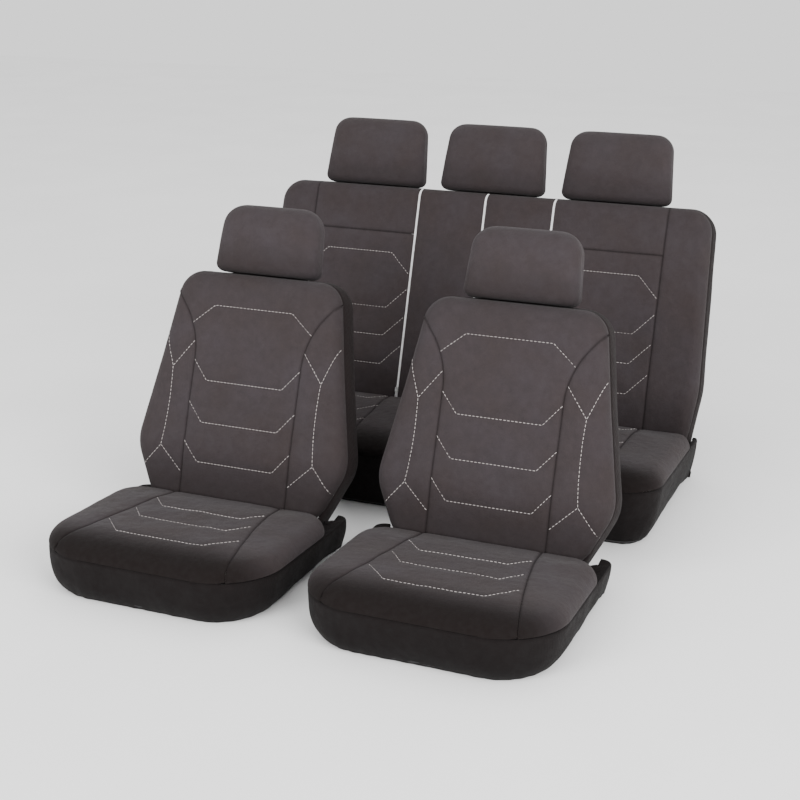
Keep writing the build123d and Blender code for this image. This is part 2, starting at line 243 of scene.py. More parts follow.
def normals(grid, wrap=False):
    """Unit normals of a grid of points, from its neighbours."""
    if wrap:
        sideways = np.roll(grid, -1, 1) - np.roll(grid, 1, 1)
    else:
        sideways = np.gradient(grid, axis=1)
    normal = np.cross(sideways, np.gradient(grid, axis=0))
    size = np.linalg.norm(normal, axis=2, keepdims=True)
    good = size[..., 0] > 1e-9
    normal = normal / np.maximum(size, 1e-12)
    rows = np.arange(len(grid))
    for j in range(grid.shape[1]):
        bad = ~good[:, j]
        if bad.any() and good[:, j].any():
            sound = rows[good[:, j]]
            pick = sound[np.abs(rows[bad][:, None] - sound[None]).argmin(1)]
            normal[bad, j] = normal[pick, j]
    return normal


def make_object(name, points, faces):
    """A mesh object from points in millimetres and a list of faces."""
    mesh = bpy.data.meshes.new(name)
    mesh.from_pydata((np.asarray(points) * MM).tolist(), [], faces)
    mesh.validate()
    mesh.update()
    obj = bpy.data.objects.new(name, mesh)
    bpy.context.scene.collection.objects.link(obj)
    mesh.shade_smooth()
    mesh.set_sharp_from_angle(angle=math.radians(48))
    return obj


def quads(rows, cols, wrap, offset, flip):
    """Faces of a grid of points."""
    i, j = np.meshgrid(np.arange(rows - 1), np.arange(cols if wrap else cols - 1), indexing="ij")
    k = (j + 1) % cols
    faces = np.stack([i * cols + j, i * cols + k, (i + 1) * cols + k, (i + 1) * cols + j], -1)
    faces = faces.reshape(-1, 4) + offset
    return faces[:, ::-1] if flip else faces


def shell(name, grid, way, wrap=False, thick=CLOTH, shade=1.0):
    """A closed sheet of cloth. Its outer side is the grid (rows, columns, 3), facing way at its middle."""
    rows, cols = grid.shape[:2]
    normal = normals(grid, wrap)
    facing = np.sign(normal[rows // 2, cols // 2] @ np.asarray(way, float))
    inner = grid - normal * facing * thick
    points = np.concatenate([grid.reshape(-1, 3), inner.reshape(-1, 3)])
    count = rows * cols
    number = np.arange(count).reshape(rows, cols)
    faces = [quads(rows, cols, wrap, 0, facing < 0), quads(rows, cols, wrap, count, facing > 0)]
    if wrap:
        rings = [(np.append(number[0], number[0, 0]), True), (np.append(number[-1], number[-1, 0]), False)]
    else:
        rings = [(np.concatenate([number[0], number[1:, -1], number[-1, -2::-1], number[-2::-1, 0]]), True)]
    for ring, first in rings:
        a, b = ring[:-1], ring[1:]
        wall = np.stack([b, a, a + count, b + count], -1)
        faces.append(wall[:, ::-1] if (facing < 0) == first else wall)
    obj = make_object(name, points, np.concatenate(faces).tolist())
    # each point's painted shade: 1 leaves the cloth's colour as it is, lower values darken it as painted
    # shade
    layer = obj.data.attributes.new("shade", "FLOAT", "POINT")
    values = np.tile(np.broadcast_to(shade, (rows, cols)).reshape(-1), 2)
    layer.data.foreach_set("value", values.astype(np.float32))
    tidy_mesh(obj)
    return obj


def tidy_mesh(obj):
    """Joins points that lie on each other, and drops faces with no area."""
    work = bmesh.new()
    work.from_mesh(obj.data)
    bmesh.ops.remove_doubles(work, verts=work.verts, dist=0.00002)
    bmesh.ops.dissolve_degenerate(work, edges=work.edges, dist=0.00001)
    bmesh.ops.recalc_face_normals(work, faces=work.faces)
    work.to_mesh(obj.data)
    work.free()
    obj.data.update()


def area_and_size(grid):
    """The area of a grid in square metres, and its longest width and length in metres."""
    a = grid[1:, :-1] - grid[:-1, :-1]
    b = grid[:-1, 1:] - grid[:-1, :-1]
    c = grid[1:, 1:] - grid[:-1, 1:]
    d = grid[1:, 1:] - grid[1:, :-1]
    area = sum(np.linalg.norm(np.cross(p, q), axis=2).sum() for p, q in ((a, b), (c, d))) / 2
    width = np.linalg.norm(np.diff(grid, axis=1), axis=2).sum(1).max()
    length = np.linalg.norm(np.diff(grid, axis=0), axis=2).sum(0).max()
    return area * MM * MM, width * MM, length * MM


def finish_piece(obj, look, body):
    """Paints a piece and lets it ride on its body. A look is a material and its slot."""
    material, slot = look
    obj.data.materials.append(material)
    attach(obj, body)


def cloth_piece(name, grid, way, look, body, node, held="stretched", **options):
    """A cloth panel that rides on a body and stands for its CAD node, which it hides. Its area and sizes are
    worked out but not used.
    """
    obj = shell(name, grid, way, **options)
    finish_piece(obj, look, body)
    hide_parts(node)
    area, width, length = area_and_size(grid)
    width, length = round(max(width, 0.0102), 4), round(max(length, 0.0102), 4)
    area = round(float(np.clip(area, 0.301 * width * length, 0.999 * width * length)), 5)


class Form:
    """What filled backrests and cushions share. Each has its own place, height, edge and painted shade."""

    def __init__(self, seams, stitches, painted_fade, seed, broad, fine):
        # the fade span gives where the painted shade darkens the cloth
        self.seams, self.stitches, self.painted_fade = seams, stitches, painted_fade
        self.noise, self.fine = Noise(seed, broad), Noise(seed + 1, fine)

    def point(self, u, v, n):
        """A point in space from three distances, each along its own direction."""
        return self.origin + u[..., None] * [1, 0, 0] + v[..., None] * self.up + n[..., None] * self.out

    def face(self, u, v, extra=0.0):
        """Points of the cloth's outer side, pushed in by extra."""
        return self.place(u, v, self.height(u, v) - extra)

    def seam_shade(self, value, flat):
        """The painted shade, darker still along the seams, where it stands for shadow in their grooves."""
        for line in self.seams:
            value = value * (1 - 0.42 * np.exp(-(away(flat, line) / 2.6) ** 2))
        return value

    def panel(self, rows, left, right, middle):
        """Grid places (u, v, extra) of a panel between two edges, with its edges turned in."""
        rows = np.concatenate([rows[:1], rows, rows[-1:]])
        low = left(rows) + SEAM_GAP
        wide = np.maximum(right(rows) - SEAM_GAP - low, 0.0)
        share = spread(wide.max(), middle)
        u = np.stack([a + w * (spread(w, middle) if w > NARROW else share) for a, w in zip(low, wide)])
        u = np.concatenate([u[:, :1], u, u[:, -1:]], 1)
        v = np.repeat(rows[:, None], u.shape[1], 1)
        return u, v, turned_in(self.edge(u, v))

    def cloth(self, name, rows, left, right, middle, **where):
        """One panel of the face, between two edges given as places across at each row."""
        u, v, extra = self.panel(rows, left, right, middle)
        cloth_piece(name, self.face(u, v, extra), self.out, VELOUR, shade=self.shade(u, v), **where)


# ---- a backrest's cover

class Backrest(Form):
    """The filled form of a backrest: its outline, its seams, and where it stands."""

    def __init__(self, hinge, up, outline, high, zips=(), **sewing):
        super().__init__(broad=150.0, fine=42.0, **sewing)
        self.up, self.out = up, np.array([0, -up[2], up[1]])
        self.origin = hinge + HALF_THICK * self.out
        self.right = outline
        self.outline = np.concatenate([outline, mirror_line(outline[::-1])])
        self.high, self.zips = high, zips

    def half(self, v, line=None):
        """Half the width of the outline, or of another line, at a height."""
        line = self.right if line is None else line
        return np.interp(v, line[:, 1], line[:, 0])

    def place(self, u, v, n, wrap=True):
        """A point of the form: across, up and out of the face. Below 0, v goes round the foot."""
        u, v, n = np.broadcast_arrays(u, v, n)
        turn = np.minimum(v, 0) / HALF_THICK * wrap
        radius = HALF_THICK + n
        under = turn < 0
        up = np.where(under, radius * np.sin(turn), v)
        out = np.where(under, radius * np.cos(turn) - HALF_THICK, n)
        return self.point(u, up, out)

    def edge(self, u, v):
        """Distance in from the outline."""
        return away(np.stack([u, np.maximum(v, 0)], -1), self.outline)

    def height(self, u, v):
        """How far the cloth stands out of the flat face."""
        flat = np.stack([u, np.where(v < 0, HALF_THICK * np.sin(v / HALF_THICK), v)], -1)
        edge = away(flat, self.outline)
        calm = ramp(v, 5, 120)
        for x in self.zips:
            calm = calm * (1 - fading(np.maximum(np.abs(u - x) - 7, 0), 30))
        rise = 9.0 * calm * (1 - fading(edge, 55))
        loose = (0.9 * self.noise(u, v) + 0.35 * self.fine(u, v)) * calm * (1 - fading(edge, 25))
        sewn = relief(flat, self.seams, self.stitches) * ramp(edge, -4, ROLL)
        return rise + loose - roll_depth(edge) - sewn

    def shade(self, u, v):
        """Painted shade: darker towards the foot, the top, the outline and the seams."""
        flat = np.stack([u, v], -1)
        value = 0.50 + 0.50 * ramp(v, *self.painted_fade)
        value = value * (1 - 0.10 * ramp(v, self.high - 130, self.high))
        value = value * (1 - 0.16 * fading(away(flat, self.outline), 16))
        return self.seam_shade(value, flat)

    def rim(self, foot):
        """The outline from foot to foot, resampled, with its outward normals and the distance along it."""
        line = self.outline[self.outline[:, 1] > foot]
        line = np.concatenate([[[self.half(foot), foot]], line, [[-self.half(foot), foot]]])
        line, along = resample(line, 5.0)
        return line, outward_of(line), along

    def boxing(self, name, side=0, **where):
        """The side band, from the face round to the back panel. Side -1 or 1 makes only that half."""
        line, outward, along = self.rim(BAND_FOOT)
        pick = side * line[:, 0] >= -0.01
        line, outward, along = line[pick], outward[pick], along[pick]
        middle_rows = np.arange(BAND_FRONT + 17, BAND_BACK - 14, 6.0)
        deep = np.concatenate([BAND_FRONT + EDGE_STEPS[:7], middle_rows, BAND_BACK - EDGE_STEPS[:6][::-1]])
        deep = np.concatenate([deep[:1], deep, deep[-1:]])
        arch = np.sin(math.pi * (deep - BAND_FRONT) / (BAND_BACK - BAND_FRONT))
        past = np.clip(deep - (THICK - ROLL), 0, ROLL)
        off = 4.0 * arch - dip(deep - BAND_FRONT, 2.4, 3.0) - dip(BAND_BACK - deep, 1.6, 3.0)
        off = off - (ROLL - np.sqrt(ROLL ** 2 - past ** 2))
        off[[0, -1]] -= 4
        off = off[:, None] + 0.7 * self.noise(along, deep[:, None] * 2) * arch[:, None]
        u = line[:, 0] + outward[:, 0] * off
        v = line[:, 1] + outward[:, 1] * off
        grid = self.place(u, v, -deep[:, None] + 0 * u, wrap=False)
        middle = outward[len(line) // 2]
        cloth_piece(name, grid, middle[0] * np.array([1.0, 0, 0]) + middle[1] * self.up, KNIT, **where)

    def back_panel(self, name, step, side=0, **where):
        """The back panel, inside the rolled rear edge. Side -1 or 1 makes only that half."""
        start = ROLL - math.sqrt(ROLL ** 2 - (BAND_BACK - (THICK - ROLL)) ** 2)
        line, outward, _ = self.rim(BACK_FOOT)
        line = line - outward * start
        right = line[line[:, 0] >= 0]
        right = right[np.argsort(right[:, 1], kind="stable")]
        rows = rows_between(BACK_FOOT, self.high - start - 0.01, step, low_steps=np.zeros(1))
        low, high = (-1 if side < 1 else 0), (1 if side > -1 else 0)
        u, v, extra = self.panel(
            rows,
            lambda v: low * self.half(v, right),
            lambda v: high * self.half(v, right),
            int((high - low) * self.half(self.high / 2) / step / 1.4),
        )
        inside = np.clip(away(np.stack([u, v], -1), self.outline), start, None)
        turned = np.clip(inside, 0, ROLL)
        deep = (THICK - ROLL) + np.sqrt(np.maximum(ROLL ** 2 - (ROLL - turned) ** 2, 0))
        deep = deep + 5.0 * (1 - fading(inside - start, 60))
        deep = deep + 1.2 * self.noise(u * 0.8, v * 0.8) * (1 - fading(inside - start, 40))
        cloth_piece(name, self.place(u, v, -(deep - extra), wrap=False), -self.out, KNIT, **where)


# ---- a cushion's cover

class Cushion(Form):
    """The filled form of a seat cushion: depth d is measured forwards from the crease."""

    def __init__(self, crease, half, deep, corners, rear_gap, turn_in, **sewing):
        super().__init__(broad=130.0, fine=38.0, **sewing)
        self.origin = crease
        self.up, self.out = np.array([[0, -SLOPE_COS, SLOPE_SIN], [0, SLOPE_SIN, SLOPE_COS]])
        self.half_width, self.deep, self.corner = half, deep, corners[1]
        self.gap, self.turn_in = rear_gap, turn_in
        self.right = rounded([(0, rear_gap), (half, rear_gap), (half, deep), (0, deep)], corners)
        self.line = np.concatenate([self.right, mirror_line(self.right[::-1])])
        self.outward = outward_of(self.line)

    def place(self, u, d, n):
        """A point of the form: across, forwards and out of the top."""
        return self.point(*np.broadcast_arrays(u, d, n))

    def edges(self, u, d):
        """Distance in from the outline, plain, and shorter across the long front roll than at the rear."""
        far, stretch = nearest(np.stack([u, d], -1), self.line)
        way = self.outward[stretch]
        front = np.clip(way[..., 1], 0, 1) ** 2
        rear = np.clip(-way[..., 1], 0, 1) ** 2
        side = np.clip(1 - front - rear, 0, 1)
        return far, far * (0.52 * front + 2.2 * rear + 0.8 * side)

    def edge(self, u, d):
        """Distance in from the outline, as the rolled edge takes it."""
        return self.edges(u, d)[1]

    def height(self, u, d):
        """How far the cloth stands out of the flat top."""
        far, rolled = self.edges(u, d)
        calm = ramp(d, self.gap, self.gap + 90)
        rise = 12.0 * (0.35 + 0.65 * calm) * (1 - fading(far, 70))
        loose = (0.9 * self.noise(u, d) + 0.3 * self.fine(u, d)) * (1 - fading(far, 30))
        sewn = relief(np.stack([u, d], -1), self.seams, self.stitches) * ramp(rolled, -4, ROLL)
        return rise + loose - roll_depth(rolled) - sewn

    def shade(self, u, d):
        """Painted shade: a little darker all over, and darker over the front roll, at the crease, the outline
        and the seams.
        """
        value = 0.94 - 0.90 * ramp(d, *self.painted_fade)
        value = value * (1 - 0.18 * (1 - ramp(d, self.gap, self.gap + 60)))
        value = value * (1 - 0.12 * fading(self.edges(u, d)[0], 14))
        return self.seam_shade(value, np.stack([u, d], -1))

    def top(self, name, left, right, middle, step, **where):
        """One panel of the top, as long as its two edges leave room between them."""
        fine = np.arange(self.gap + 0.01, self.deep, 0.1)
        fine = fine[right(fine) - left(fine) > 1.5]
        rows = rows_between(fine[0], fine[-1], step, EDGE_STEPS * 0.5, EDGE_STEPS * 1.9)
        self.cloth(name, rows, left, right, middle, **where)

    def side(self, d):
        """Half width of the outline at a depth."""
        line = self.right[self.right[:, 0] > 0]
        return np.interp(d, line[:, 1], line[:, 0])

    def skirt_line(self):
        """The skirt's line at its top seam, from one rear end round the front to the other.

        It comes with its normals, the distance along it, the floor below it and the hem's pull.
        """
        half, deep = self.half_width, self.deep
        ends = [(half - self.turn_in, -SKIRT_BEHIND), (half, -SKIRT_BEHIND)]
        right = rounded(ends + [(half, deep), (0, deep)], [min(28.0, self.turn_in - 2), self.corner])
        line, along = resample(np.concatenate([right, mirror_line(right[::-1])[1:]]), 5.0)
        floor = (-self.origin[2] - line[:, 1] * SLOPE_SIN) / SLOPE_COS
        pull = CURL * ramp(np.minimum(along, along[-1] - along), 20, 160)
        return line, outward_of(line), along, floor, pull

    def wall(self, name, line, outward, n, inset, look, **where):
        """Cloth on the tapered wall, at depths n below the top plane, drawn in by inset."""
        shift = inset + math.tan(SKIRT_TAPER) * (-n - BAND_FRONT)
        u = line[:, 0] - outward[:, 0] * shift
        d = line[:, 1] - outward[:, 1] * shift
        way = outward[len(line) // 2, 1] * self.up
        cloth_piece(name, self.place(u, d, n), way, look, held="gathered", **where)

    def skirt(self, name, seed, lift, shelf, **where):
        """The skirt, with its top turned in over the form and its hem gathered by the elastic."""
        line, outward, along, floor, pull = self.skirt_line()
        high_rows = np.array([0, 0, 1, 2.5, 5, 9, 15]) / 130
        low_rows = 1 - np.array([14, 11, 9.5, 8, 5, 2.5, 1, 0]) / 130
        fall = np.concatenate([high_rows, np.linspace(0.16, 0.86, 16), low_rows])
        top = -BAND_FRONT + lift * ramp(-line[:, 1], -self.gap, 40)
        n = top + fall[:, None] * (floor - top)
        turned = np.array([1.0, 0.97, 0.8, 0.6, 0.4, 0.2])[:, None]
        rounded_off = self.half_width - self.side(np.maximum(line[:, 1], self.gap + 0.5))
        reach = np.where(line[:, 1] < self.deep / 2, np.maximum(rounded_off + 20, 4), 4)
        behind = shelf + (reach - shelf) * ramp(line[:, 1], -4, 8)
        reach = np.where(line[:, 1] < self.gap, behind, reach)
        gather = Noise(seed, 34.0, 12)(along, 0 * along) * 0.8 * fall[:, None] ** 3
        arch = np.sin(math.pi * fall)[:, None]
        broad = self.noise(along, fall[:, None] * 90) * 1.6 * arch
        swell = 3.2 * arch - dip(fall * 130, 2.2, 3.5)[:, None]
        hem = dip((1 - fall) * 130 - 11, 1.0, 1.6)[:, None]
        curl = (1 - np.sqrt(1 - np.clip((fall - 0.55) / 0.45, 0, 1) ** 2))[:, None] * pull
        inset = curl - (swell + gather + broad - hem)
        inset[0] += 1
        inset = np.concatenate([inset[:1] + turned * reach, inset])
        sink = 0.4 - 0.03 * lift * ramp(-line[:, 1], -self.gap, 20)
        n = np.concatenate([n[:1] - turned * (reach - 4) * sink, n])
        # painted shade on the skirt: lighter on the turned-in top, darker down towards the hem
        shade = np.concatenate([np.full(len(turned), 0.6), 0.42 - 0.22 * fall])[:, None]
        self.wall(name, line, outward, n, inset, KNIT, shade=shade, **where)

    def elastic(self, name, **where):
        """The elastic in the hem, inside the skirt."""
        line, outward, along, floor, pull = self.skirt_line()
        lift = np.array([2.0, 2.6, 5.0, 8.0, 11.4, 12.0])[:, None]
        ripple = 0.5 * np.sin(along * 2 * math.pi / 11.0)
        inset = 6.4 + np.clip(1 - lift / 16, 0, 1) ** 2 * pull + ripple
        self.wall(name, line, outward, floor + lift, inset, ELASTIC, thick=1.2, **where)


def tuck_flap(name, hinge, half, start_radius, seed, **where):
    """The sheet that goes from the cushion's rear edge round under the backrest, about its hinge."""
    outer, tail = HALF_THICK + 15.5, 70.0
    turn = np.radians(np.linspace(192, 270, 26))
    radius = start_radius + (outer - start_radius) * ramp(turn, turn[0], turn[10])
    arc = np.stack([radius * np.cos(turn), radius * np.sin(turn)], 1)
    line = np.concatenate([arc, np.stack([np.linspace(4, tail, 14), np.full(14, -outer)], 1)])
    u = np.linspace(-half, half, int(half / 6))
    along = np.arange(len(line)) * 6.0
    ruck = Noise(seed, 60.0)(u, along[:, None]) * 0.7 * ramp(along, 0, 40)[:, None]
    wave = Noise(seed + 1, 170.0)(u, 0 * along[:, None])
    ruck = ruck + 2.6 * wave * ramp(line[:, 0], 20, tail)[:, None]
    way = line / np.linalg.norm(line, axis=1, keepdims=True)
    way[len(arc):] = [0, -1]
    place = line[:, None, :] + way[:, None, :] * ruck[..., None]
    sideways = np.broadcast_to(u, ruck.shape)
    grid = hinge + np.stack([sideways, place[..., 0], place[..., 1]], -1)
    cloth_piece(name, grid, [0, *way[len(line) // 2]], KNIT, thick=2.4, **where)


# ---- headrest covers

FOOT_ROUND, TOP_ROUND = 20.0, 38.0
HEAD_THICK = 90.0
HEAD_GAP, HEAD_SET_BACK = 5.0, 8.0  # above the backrest's top, and behind its face
MOUTH = np.array([100.0, 20.0])  # half sizes of the opening underneath


def headrest(name, back, x, size, corner, seed, **where):
    """A sock over a headrest, x across from the backrest's middle, closed on top."""
    bottom, top, high = size
    right = rounded([(0, 0), (bottom / 2, 0), (top / 2, high), (0, high)], [FOOT_ROUND, corner])[1:-1]
    bend = 1 - np.cos(np.linspace(0, math.pi / 2, 11))
    straight = np.arange(FOOT_ROUND + 5, high - TOP_ROUND - 2, 5.5)
    rows = np.concatenate([FOOT_ROUND * bend, straight, (high - TOP_ROUND * bend)[::-1]])
    half_width = np.interp(rows, right[:, 1], right[:, 0])[:, None]
    half_thick = HEAD_THICK / 2 - roll_depth(rows, FOOT_ROUND) - roll_depth(high - rows, TOP_ROUND)
    half_thick = (half_thick * (1 - 0.10 * ramp(rows, high * 0.55, high)))[:, None]
    count = 96
    turn = np.linspace(0, 2 * math.pi, count, endpoint=False)
    ring = np.stack([np.cos(turn), np.sin(turn)])
    power = 2 / np.where(ring[1] < 0, 3.6, 2.5)
    ring = np.sign(ring) * np.abs(ring) ** power
    u, w = half_width * ring[0], half_thick * ring[1]
    soften = np.sin(math.pi * rows / high)[:, None]
    slack = Noise(seed, 95.0)(u, rows[:, None] * 1.2 + 40 * np.sign(w))
    w = w + (3.0 + 1.1 * slack) * ring[1] * soften
    side_seam = np.exp(-((half_thick * ring[1] + 8) / 3.0) ** 2) * (np.abs(ring[0]) > 0.5)
    u = u - np.sign(u) * 1.6 * side_seam * soften
    v = np.repeat(rows[:, None], count, 1)
    # the mouth's turned-up rim, and rows from it out to the foot
    hole = MOUTH[:, None] * ring
    shares = np.array([0.0, 0.0, 0.12, 0.4, 0.75])[:, None]
    heights = np.array([9.0, 3.0, 0.2, -0.6, -0.5])[:, None]
    u = np.concatenate([hole[0] + (u[0] - hole[0]) * shares, u, u[-1:] * 0.995])
    w = np.concatenate([hole[1] + (w[0] - hole[1]) * shares, w, 0 * w[-1:]])
    v = np.concatenate([heights + 0 * ring[:1], v, v[-1:] + 0.4])
    grid = back.point(x + u, back.high + HEAD_GAP + v, -(HEAD_SET_BACK + HEAD_THICK / 2 + w))
    # painted shade: darker low on the sock and a little darker at its top
    shade = (0.62 + 0.38 * ramp(v, 0, high * 0.55)) * (1 - 0.08 * ramp(v, high * 0.7, high))
    # halfway round its ring the cloth faces left
    cloth_piece(name, grid, [-1, 0, 0], VELOUR, wrap=True, shade=shade, **where)


# ---- topstitching, zips and webbing

STITCH_LONG, STITCH_GAP, THREAD = 6.0, 3.4, 0.62
TOOTH_PITCH, TOOTH = 2.5, 0.78
ZIP_GAP, ZIP_FOOT = 7.0, -20.0
SIDES = 6  # of a thread's cross-section


def capsules(name, starts, ends, ups, radius, look, body):
    """One object of many short rounded threads, from starts to ends."""
    long = np.linalg.norm(ends - starts, axis=1, keepdims=True)
    along = (ends - starts) / np.maximum(long, 1e-9)
    sideways = np.cross(ups, along)
    sideways /= np.maximum(np.linalg.norm(sideways, axis=1, keepdims=True), 1e-9)
    over = np.cross(along, sideways)
    turn = np.arange(SIDES) * 2 * math.pi / SIDES
    rings = [(-0.5, 0.45), (-0.36, 1.0), (0.36, 1.0), (0.5, 0.45)]
    local = [(x, fat * math.cos(t), fat * math.sin(t)) for x, fat in rings for t in turn]
    local = np.array(local + [(-0.53, 0, 0), (0.53, 0, 0)])
    points = (starts + ends)[:, None] / 2
    for column, way in enumerate((along * long, sideways * radius, over * radius)):
        points = points + way[:, None] * local[:, column, None]
    faces = quads(len(rings), SIDES, True, 0, False).tolist()
    last = (len(rings) - 1) * SIDES
    for s in range(SIDES):
        t = (s + 1) % SIDES
        faces += [[t, s, len(local) - 2], [last + s, last + t, len(local) - 1]]
    every = [[corner + k * len(local) for corner in face] for k in range(len(starts)) for face in faces]
    finish_piece(make_object(name, points.reshape(-1, 3), every), look, body)


def topstitch(name, form, body):
    """Dashes of thread along a form's lines of topstitching, laid on its face."""
    starts, ends = [], []
    for line in form.stitches:
        line, along = resample(np.array(line, float), 1.0)
        count = int(along[-1] // (STITCH_LONG + STITCH_GAP))
        pitch = along[-1] / max(count, 1)
        for k in range(count):
            a = k * pitch + STITCH_GAP / 2
            for points, at in ((starts, a), (ends, a + pitch - STITCH_GAP)):
                points.append([np.interp(at, along, line[:, i]) for i in (0, 1)])
    a, b = (form.face(*np.array(points).T) + form.out * 0.35 for points in (starts, ends))
    capsules(name, a, b, np.repeat(form.out[None], len(a), 0), THREAD, STITCHES, body)


def crest(back):
    """Places up a backrest's face and over its rolled top: v, n, and how far the surface leans."""
    flat = np.arange(ZIP_FOOT, back.high - ROLL, 5.0)
    turn = np.linspace(0, math.pi / 2, 14)
    v = np.concatenate([flat, back.high - ROLL + ROLL * np.sin(turn)])
    n = np.concatenate([0 * flat, ROLL * np.cos(turn) - ROLL])
    return v, n, np.concatenate([0 * flat, turn])


def zip_tape(name, back, x, **where):
    """The two woven tapes, drawn up in the gap between the panels."""
    half = np.array([[1, 1.7], [3.2, 1.9], [4.1, 3.4], [5, 4.4], [7.5, 4.6], [13, 4.6]])
    places = np.concatenate([mirror_line(half[::-1]), half])
    sunk = places[:, 1]
    v, n, lean = (values[:, None] for values in crest(back))
    v, n = v - np.sin(lean) * sunk, n - np.cos(lean) * sunk
    cloth_piece(name, back.place(x + places[:, 0] + 0 * v, v, n), back.out, TAPE, thick=0.9, **where)


def zip_teeth(name, back, x, body):
    """Interlocked teeth, one after the other across the gap."""
    v, n, lean = crest(back)
    along = np.concatenate([[0], np.cumsum(np.hypot(np.diff(v), np.diff(n)))])
    at = np.arange(2.0, along[-1] - 2.0, TOOTH_PITCH)
    v, n, lean = (np.interp(at, along, values) for values in (v, n, lean))
    side = np.where(np.arange(len(at)) % 2 == 0, -1.0, 1.0)
    v, n = v - np.sin(lean) * 1.1, n - np.cos(lean) * 1.1
    ups = np.sin(lean)[:, None] * back.up + np.cos(lean)[:, None] * back.out
    starts, ends = back.place(x + side * 2.7, v, n), back.place(x - side * 1.1, v, n)
    capsules(name, starts, ends, ups, TOOTH, TEETH, body)


def webbing(name, x, route, **where):
    """A flat strap along a route of (y, z) points."""
    route, _ = resample(np.array(route, float), 6.0)
    places = np.array([-10, -9.4, -5, 0, 5, 9.4, 10.0])
    sunk = np.array([0.5, 0, 0, 0, 0, 0, 0.5])
    step = np.gradient(route, axis=0)
    step /= np.linalg.norm(step, axis=1, keepdims=True)
    over = np.stack([-step[:, 1], step[:, 0]], 1)
    over *= np.sign(over[:, 1] + 1e-6)[:, None] if over[0, 1] * over[-1, 1] > 0 else 1
    y = route[:, :1] - over[:, :1] * sunk
    z = route[:, 1:] - over[:, 1:] * sunk
    grid = np.stack([x + places + 0 * y, y, z], -1)
    cloth_piece(name, grid, [0, *over[len(route) // 2]], WEBBING, thick=1.8, **where)


# ---- materials

class Shading:
    """Builds one material's nodes. A value is a number, a colour or another node's output."""

    def __init__(self, name):
        self.material = bpy.data.materials.new(name)
        self.material.use_nodes = True
        self.nodes = self.material.node_tree.nodes
        self.links = self.material.node_tree.links
        self.shader = self.nodes["Principled BSDF"]
        self.spot = self.add("ShaderNodeTexCoord").outputs["Object"]
        # dark holds each point's painted shade, 1 where the cloth is left unshaded
        self.dark = self.add("ShaderNodeAttribute", attribute_name="shade").outputs["Fac"]

    def put(self, socket, value):
        if isinstance(value, bpy.types.NodeSocket):
            self.links.new(value, socket)
        else:
            socket.default_value = value

    def add(self, kind, values=(), **settings):
        node = self.nodes.new(kind)
        for key, value in settings.items():
            setattr(node, key, value)
        for key, value in dict(values).items():
            self.put(node.inputs[key], value)
        return node

    def noise(self, scale, detail=2.0, rough=0.5, low=0.0, high=1.0):
        """Cloudy noise, its middle stretch spread from low to high."""
        values = {"Vector": self.spot, "Scale": scale, "Detail": detail, "Roughness": rough}
        cloud = self.add("ShaderNodeTexNoise", values).outputs["Fac"]
        values = {"Value": cloud, "From Min": 0.3, "From Max": 0.7, "To Min": low, "To Max": high}
        return self.add("ShaderNodeMapRange", values).outputs["Result"]

    def ribs(self, period, axis, bend=0.0):
        """Ribs that repeat along an axis, period in metres."""
        values = {"Vector": self.spot, "Scale": math.pi / (10 * period), "Distortion": bend, "Detail": 1.0}
        return self.add("ShaderNodeTexWave", values, bands_direction=axis).outputs["Fac"]

    def weave(self, operation, first, second):
        """Two sets of ribs combined."""
        return self.math(operation, self.ribs(*first), self.ribs(*second))

    def math(self, operation, a, b=0.0):
        return self.add("ShaderNodeMath", {0: a, 1: b}, operation=operation).outputs[0]

    def mix(self, share, a, b, way="MIX"):
        node = self.add("ShaderNodeMix", data_type="RGBA", blend_type=way)
        for index, value in ((0, share), (6, a), (7, b)):
            self.put(node.inputs[index], value)
        return node.outputs[2]

    def bump(self, *layers):
        """Layers of height (value, distance in metres), one on the other."""
        normal = None
        for height, distance in layers:
            values = {"Height": height, "Distance": distance, "Strength": 1.0}
            if normal is not None:
                values["Normal"] = normal
            normal = self.add("ShaderNodeBump", values).outputs["Normal"]
        self.put(self.shader.inputs["Normal"], normal)

    def finish(self, colour, roughness, **values):
        self.put(self.shader.inputs["Base Color"], colour)
        self.put(self.shader.inputs["Roughness"], roughness)
        for key, value in values.items():
            self.put(self.shader.inputs[key.replace("_", " ")], value)
        return self.material


def paint(red, green, blue):
    """A colour given as it is seen, from 0 to 255."""
    return [((c / 255 + 0.055) / 1.055) ** 2.4 if c > 10 else c / 3295 for c in (red, green, blue)] + [1.0]


def velour():
    """Short-piled face cloth: cloudy warm grey, with a nap that catches light at grazing angles."""
    m = Shading("face_velour")
    # foot is the painted shade's colour: the cloth darkens towards it where the painted shade is low, on
    # backrest feet, front rolls and headrest bottoms
    cool, warm, foot = paint(50, 45, 48), paint(46, 39, 39), paint(13, 7, 6)
    broad = m.noise(9, 3)
    patch = m.noise(46, 4, 0.62)
    fibre = m.noise(620, 3, 0.7)
    colour = m.mix(broad, warm, cool)
    colour = m.mix(m.math("MULTIPLY", patch, 0.42), colour, paint(34, 28, 29))
    colour = m.mix(m.math("MULTIPLY", fibre, 0.30), colour, paint(66, 60, 61))
    # painted shade darkens the cloth towards the foot colour
    colour = m.mix(m.dark, foot, colour)
    crossed = m.math("ADD", m.ribs(0.0019, "DIAGONAL", bend=0.6), m.noise(900, 2))
    m.bump((m.noise(60, 3), 0.0007), (patch, 0.0005), (crossed, 0.00022))
    # the sheen is weakened along with the painted shade
    sheen = m.math("MULTIPLY", m.dark, 0.06)
    return m.finish(colour, m.noise(80, 2, low=0.86, high=0.97), Sheen_Weight=sheen, Sheen_Roughness=0.45,
                    Specular_IOR_Level=0.18)


